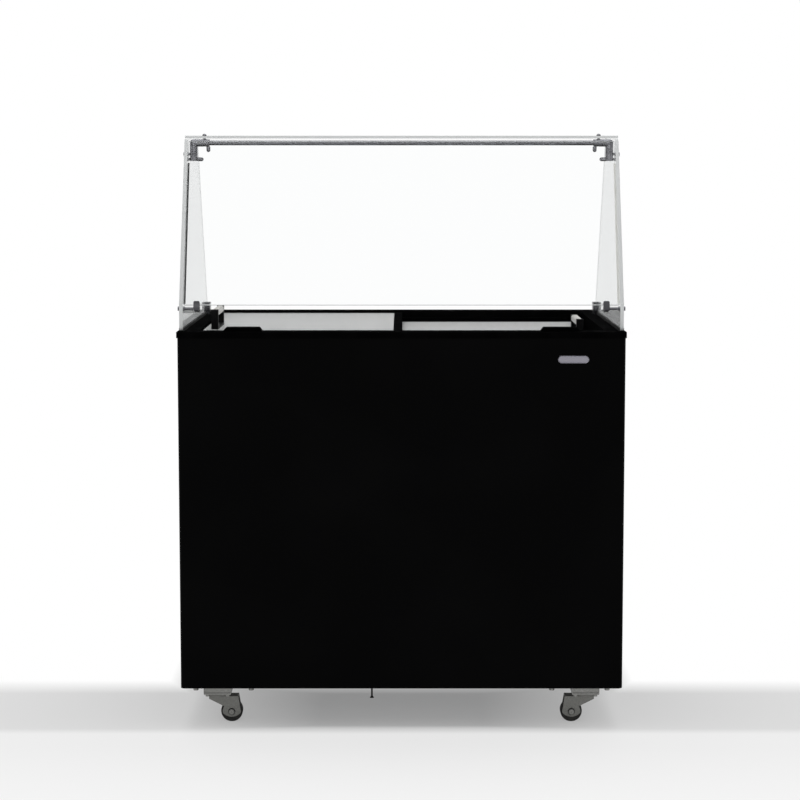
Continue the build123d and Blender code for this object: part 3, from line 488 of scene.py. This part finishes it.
# seals along the front glass's two ends: a strip on its face and a lip round its end, dark on
# the left only, as in the photo. Rows are inner and outer x, front and back of the glass's face.
SEAL_STRIP = (488.8, 491.6, 0.9, 0.0)
SEAL_LIP = (491.6, 492.9, 0.9, -5.6)
FOOT_GAP, HEAD_GAP = 3, 52
seal_foot = Vector((0.0, -284.2, 968.6))
seal_head = Vector((0.0, -163.2, 1338.6))
seal_along = (seal_head - seal_foot).normalized()
seal_out = Vector((0.0, -seal_along.z, seal_along.y))
for side, hand, finish in ((-1, "left", "seal_rubber"), (1, "right", "white_plastic")):
    seal = bmesh.new()
    for near, far, front, back in (SEAL_STRIP, SEAL_LIP):
        corners = []
        for x in sorted((side * near, side * far)):
            for foot in (seal_foot + seal_along * FOOT_GAP, seal_head - seal_along * HEAD_GAP):
                for off in (back, front):
                    spot = foot + seal_out * off
                    corners.append(seal.verts.new((x, spot.y, spot.z)))
        bmesh.ops.convex_hull(seal, input=corners)
    finish_piece(f"front_glass_seal_{hand}", seal, "cabinet", finish)

# raised border of the badge
badge_low, badge_high = node_box("badge_plate")
border = bmesh.new()
round_r = (badge_high[2] - badge_low[2]) / 2
mid_x, mid_z = (badge_low[0] + badge_high[0]) / 2, (badge_low[2] + badge_high[2]) / 2
reach = (badge_high[0] - badge_low[0]) / 2 - round_r
BORDER_STEPS = 48
border_section = ((0.5, 0.0), (0.8, -0.55), (1.7, -0.55), (2.0, 0.0))
rows = []
for inward, y in border_section:
    radius = round_r - inward
    row = []
    for k in range(BORDER_STEPS):
        angle = 2 * math.pi * (k + 0.5) / BORDER_STEPS
        shift = reach if math.cos(angle) > 0 else -reach
        row.append(border.verts.new((mid_x + shift + radius * math.cos(angle), badge_low[1] + y,
                                     mid_z + radius * math.sin(angle))))
    rows.append(row)
for near, far in zip(rows, rows[1:] + rows[:1]):
    for k in range(BORDER_STEPS):
        after = (k + 1) % BORDER_STEPS
        border.faces.new((near[k], near[after], far[after], far[k]))
finish_piece("badge_border", border, "cabinet", "badge_metal", smooth=True)

# end caps of the castor channels
rail_low, rail_high = node_box("base_rails")
caps = bmesh.new()
for side in (-1, 1):
    for end in (-1, 1):
        x = sorted((side * (rail_high[0] - 61.3), side * (rail_high[0] - 1.7)))
        y = sorted((end * (rail_high[1] - 2.6), end * (rail_high[1] - 1.2)))
        block(caps, (x[0], y[0], rail_low[2] + 2.2), (x[1], y[1], rail_high[2] - 0.2))
finish_piece("rail_end_caps", caps, "cabinet", "galvanised_steel", 0.3)

# axle nuts, dark rings of painted shade under them for the shadow round the fork's boss, and ball
# races of the castors
KING_PIN = (424.0, 260.0)
NUT = [(0, 0.1), (2.1, 0.1), (2.5, 0.5), (4.9, 0.5), (5.3, 0.2), (5.3, -2.5), (0, -2.5)]
PAINTED_SHADE_RING = [(0, 0), (7.8, 0), (8.2, 0.3), (8.2, 0.9), (7.8, 1.3), (0, 1.3)]
RACE = [(20.2, 0.4), (22.6, 0.4), (23.6, 1.4), (23.6, 5.2), (22.4, 7.4), (20.2, 7.4), (20.2, 0.4)]
for hand in ("front_left", "front_right", "rear_left", "rear_right"):
    fork_low, fork_high = node_box(f"castor_{hand}_fork")
    tyre_low, tyre_high = node_box(f"castor_{hand}_tyre")
    side_x = 1 if tyre_low[0] > 0 else -1
    side_y = 1 if tyre_low[1] > 0 else -1
    axle = ((tyre_low[0] + tyre_high[0]) / 2, (tyre_low[1] + tyre_high[1]) / 2,
            (tyre_low[2] + tyre_high[2]) / 2)
    bolts = bmesh.new()
    painted_shade_rings = bmesh.new()
    for way in (-1, 1):
        y = fork_high[1] if way > 0 else fork_low[1]
        nut = (axle[0], y - way * 0.2, axle[2])
        lathe(bolts, NUT, nut, (0, way, 0), 6)
        shade_ring_spot = (axle[0], y - way * 4.0, axle[2])
        lathe(painted_shade_rings, PAINTED_SHADE_RING, shade_ring_spot, (0, way, 0))
    finish_piece(f"castor_{hand}_axle_bolts", bolts, f"castor_{hand}_fork", "galvanised_steel")
    # the dark washers are painted shade: dark rings for the shadow round each fork's boss
    finish_piece(f"castor_{hand}_washers", painted_shade_rings, f"castor_{hand}_fork", "dark_plastic")
    race = bmesh.new()
    pin = (side_x * KING_PIN[0], side_y * KING_PIN[1], fork_high[2])
    lathe(race, RACE, pin, UPWARDS, 48)
    bmesh.ops.remove_doubles(race, verts=race.verts, dist=0.0001)
    finish_piece(f"castor_{hand}_race", race, "cabinet", "castor_steel")

# set screws in the guard's elbows
GRUB_SCREW = [(0, -0.4), (1.0, -0.4), (1.25, 0.25), (2.1, 0.25), (2.3, 0.0), (2.3, -1.5),
              (0, -1.5)]
grubs = bmesh.new()
for side in (-1, 1):
    lathe(grubs, GRUB_SCREW, (side * 470.0, -161.0, 1336.0), (0, -1, 0), 24)
finish_piece("elbow_set_screws", grubs, "cabinet", "castor_steel")


def soften(name, width):
    """Rounds a CAD node's sharp edges a little, as modifiers on top of its mesh."""
    shown = nodes[name]
    weld = shown.modifiers.new("weld", "WELD")
    weld.merge_threshold = 0.00001
    edge = shown.modifiers.new("edge", "BEVEL")
    edge.width = width * MM
    edge.segments = 2
    edge.limit_method = "ANGLE"
    edge.angle_limit = math.radians(50)
    edge.miter_outer = "MITER_ARC"
    shown.modifiers.new("normals", "WEIGHTED_NORMAL")


for name, width in (
    ("front_panel", 0.8), ("side_panel_left", 0.8), ("side_panel_right", 0.8), ("rim_blocks", 0.8),
    ("upper_lid_frame", 0.6), ("lower_lid_frame", 0.6), ("upper_lid_handle", 1.0),
    ("lower_lid_handle", 1.0), ("upper_lid_grip", 1.2), ("lower_lid_grip", 1.2),
    ("upper_lid_glass", 0.4), ("lower_lid_glass", 0.4), ("glass_channels", 0.4),
    ("base_rails", 0.6),
):
    soften(name, width)

# --- stage --------------------------------------------------------------------------
# The floor paints its own light and shade. It is grey in a strip under the cabinet, a painted
# shadow, and fades to white, painted light, behind and beside the strip, and in two steps before
# it. Each pair is where a fade begins and ends, in metres along Y, or along X to either side for
# POOL_SIDE,
# OUTER_LIGHT and SIDE_FADE. Each SHARE is how far it goes.
REAR_FADE = (-0.08, 0.06)
REAR_POOL = (0.3, 0.85)
# a painted highlight on the floor along the rear edge of the painted shadow strip
REAR_GLINT = (-0.055, 0.0)
GLINT_SHARE = 0.22
# painted light: the shadow strip painted lighter to either side of the middle
OUTER_LIGHT = (0.19, 0.45)
OUTER_SHARE = 0.22
POOL_SIDE = (0.5, 0.58)
FRONT_FADE = (-0.3, -0.36)
FAR_FADE = (-0.45, -1.5)
SIDE_FADE = (0.95, 1.7)
FRONT_SHARE = 0.6
# glow and grey colour of the painted shadow strip under the cabinet
SHADOW_STRIP_GLOW = 0.215
SHADOW_STRIP_COLOR = (0.49, 0.49, 0.49)
# the light from the sky, from low to high elevation, and the white band under the horizon
SKY_LOW = 0.08
SKY_HIGH = 1.0
SKY_RISE = (0.25, 0.95)
HORIZON_BAND = (0.03, 0.07)

floor_mesh = bpy.data.meshes.new("floor")
grid = bmesh.new()
bmesh.ops.create_grid(grid, x_segments=40, y_segments=40, size=20.0)
grid.to_mesh(floor_mesh)
grid.free()
floor = bpy.data.objects.new("floor", floor_mesh)
scene.collection.objects.link(floor)
paper = Surface("floor_paper", (0.8, 0.8, 0.8), 0.95, specular=0.0)
paper.bump(paper.noise(300.0, 2.0), 0.0002, 0.2)
depth = paper.axis("Y")
sideways = node(paper.tree, "ShaderNodeMath", operation="ABSOLUTE")
link(paper.tree, paper.axis("X"), sideways.inputs[0])
outwards = sideways.outputs[0]


def combined(operation, first, second):
    made = node(paper.tree, "ShaderNodeMath", operation=operation)
    link(paper.tree, first, made.inputs[0])
    link(paper.tree, second, made.inputs[1])
    return made.outputs[0]


fade = combined("ADD", ramp(paper.tree, depth, *FRONT_FADE, 0.0, FRONT_SHARE),
                ramp(paper.tree, depth, *FAR_FADE, 0.0, 1.0 - FRONT_SHARE))
# behind the cabinet the painted shadow stays within its width, as a painted contact shadow
behind = combined("MINIMUM", ramp(paper.tree, depth, *REAR_FADE, 0.0, 1.0),
                  ramp(paper.tree, outwards, *POOL_SIDE, 0.0, 1.0))
behind = combined("MAXIMUM", behind, ramp(paper.tree, depth, *REAR_POOL, 0.0, 1.0))
fade = combined("MAXIMUM", fade, behind)
fade = combined("MAXIMUM", fade, ramp(paper.tree, depth, *REAR_GLINT, 0.0, GLINT_SHARE))
fade = combined("MAXIMUM", fade, ramp(paper.tree, outwards, *OUTER_LIGHT, 0.0, OUTER_SHARE))
fade = combined("MAXIMUM", fade, ramp(paper.tree, outwards, *SIDE_FADE, 0.0, 1.0))
# base colour: grey in the painted shadow, down to black where the glow paints light instead
paper.tint(fade, SHADOW_STRIP_COLOR, (0.0, 0.0, 0.0), 0.0, 1.0)
# the floor glows though it is no lamp: faintly in the painted shadow, fully white where it fades
glow = ramp(paper.tree, fade, 0.0, 1.0, SHADOW_STRIP_GLOW, 1.0)
paper.set("Emission Color", (1.0, 1.0, 1.0, 1.0))
link(paper.tree, glow, paper.shader.inputs["Emission Strength"])
floor_mesh.materials.append(paper.material)

world = bpy.data.worlds.new("studio")
scene.world = world
world.use_nodes = True
sky = world.node_tree
backdrop = sky.nodes["Background"]
backdrop.inputs["Color"].default_value = (1.0, 1.0, 1.0, 1.0)
soft = node(sky, "ShaderNodeBackground", Color=(1.0, 1.0, 1.0, 1.0))
direction = node(sky, "ShaderNodeTexCoord")
split = node(sky, "ShaderNodeSeparateXYZ")
link(sky, direction.outputs["Generated"], split.inputs["Vector"])
above = ramp(sky, split.outputs["Z"], *SKY_RISE, SKY_LOW, SKY_HIGH)
horizon = ramp(sky, split.outputs["Z"], *HORIZON_BAND, 1.0 - SKY_LOW, 0.0)
both = node(sky, "ShaderNodeMath", operation="ADD")
link(sky, above, both.inputs[0])
link(sky, horizon, both.inputs[1])
link(sky, both.outputs[0], soft.inputs["Strength"])
path = node(sky, "ShaderNodeLightPath")
seen = node(sky, "ShaderNodeMath", operation="MAXIMUM")
link(sky, path.outputs["Is Camera Ray"], seen.inputs[0])
link(sky, path.outputs["Is Transmission Ray"], seen.inputs[1])
mix = node(sky, "ShaderNodeMixShader")
link(sky, seen.outputs[0], mix.inputs["Fac"])
link(sky, soft.outputs[0], mix.inputs[1])
link(sky, backdrop.outputs[0], mix.inputs[2])
link(sky, mix.outputs[0], sky.nodes["World Output"].inputs["Surface"])


def area_light(name, place, aim, size, energy):
    data = bpy.data.lights.new(name, "AREA")
    data.shape = "RECTANGLE"
    data.size, data.size_y = size
    data.energy = energy
    made = bpy.data.objects.new(name, data)
    made.location = place
    made.rotation_euler = (Vector(aim) - Vector(place)).to_track_quat("-Z", "Y").to_euler()
    scene.collection.objects.link(made)


area_light("overhead", (0.0, 0.4, 3.4), (0.0, 0.0, 0.0), (3.6, 2.6), 55.0)
area_light("front_fill", (0.0, -4.5, 2.2), (0.0, 0.0, 0.3), (3.0, 1.2), 18.0)
